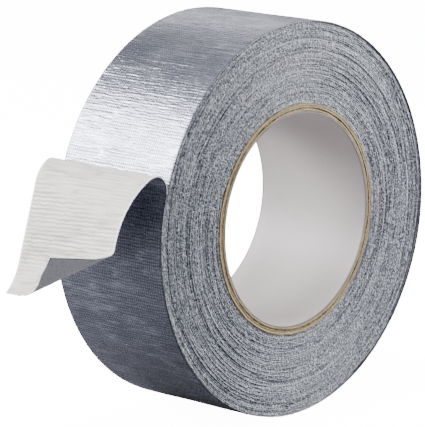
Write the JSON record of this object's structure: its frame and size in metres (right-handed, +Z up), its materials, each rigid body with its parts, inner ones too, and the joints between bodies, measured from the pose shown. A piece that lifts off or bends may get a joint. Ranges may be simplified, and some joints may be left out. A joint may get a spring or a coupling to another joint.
{
  "type": "duct tape roll",
  "caption": "Roll of silver cloth-backed duct tape on a hollow kraft core, standing on its rim, with the free end peeled off and folded back, sticky side out.",
  "frame": {"origin": "on the floor, under the middle of the roll: the middle of the flat at the bottom of the rim", "axes": "+Y along the roll's axis, across the tape, -Y on the side the picture shows; +Z up; the free end is on the -X side"},
  "size_m": [0.1854, 0.0506, 0.1416],
  "materials": {
    "liner_paper": "smooth pale grey paper, matte",
    "kraft_board": "brown kraft board, matte, plies showing at the edge",
    "wound_tape": "cut edges of the wound tape, fine rings, dull",
    "backing_film": "silver film with the weave of the cloth showing through, satin",
    "scrim_cloth": "open weave of white yarn",
    "adhesive": "off-white rubber adhesive, tacky, faint sheen"
  },
  "bodies": {
    "roll": {"core_liner": "liner_paper", "core_ply_1": "kraft_board", "core_ply_2": "kraft_board", "core_ply_3": "kraft_board", "wound_turns": "wound_tape", "last_turn_backing_film": "backing_film", "last_turn_scrim_cloth": "scrim_cloth", "last_turn_adhesive": "adhesive"},
    "tail_root": {"tail_root_backing_film": "backing_film", "tail_root_scrim_cloth": "scrim_cloth", "tail_root_adhesive": "adhesive"},
    "tail_tip": {"tail_tip_backing_film": "backing_film", "tail_tip_scrim_cloth": "scrim_cloth", "tail_tip_adhesive": "adhesive"}
  },
  "joints": [
    {"name": "tail_lift", "type": "hinge", "parent": "roll", "child": "tail_root", "pos_m": [-0.07305, 0, 0.09709], "axis": [0, 1, 0], "range_deg": [-10, 100], "stiffness_Nm_per_rad": 0.004, "springref_deg": 1.26},
    {"name": "tail_tip_bend", "type": "hinge", "parent": "tail_root", "child": "tail_tip", "pos_m": [-0.08863, -0.00057, 0.07848], "axis": [0.1823, 0.9816, 0.0564], "range_deg": [-20, 40], "stiffness_Nm_per_rad": 0.003, "springref_deg": 0.57}
  ]
}
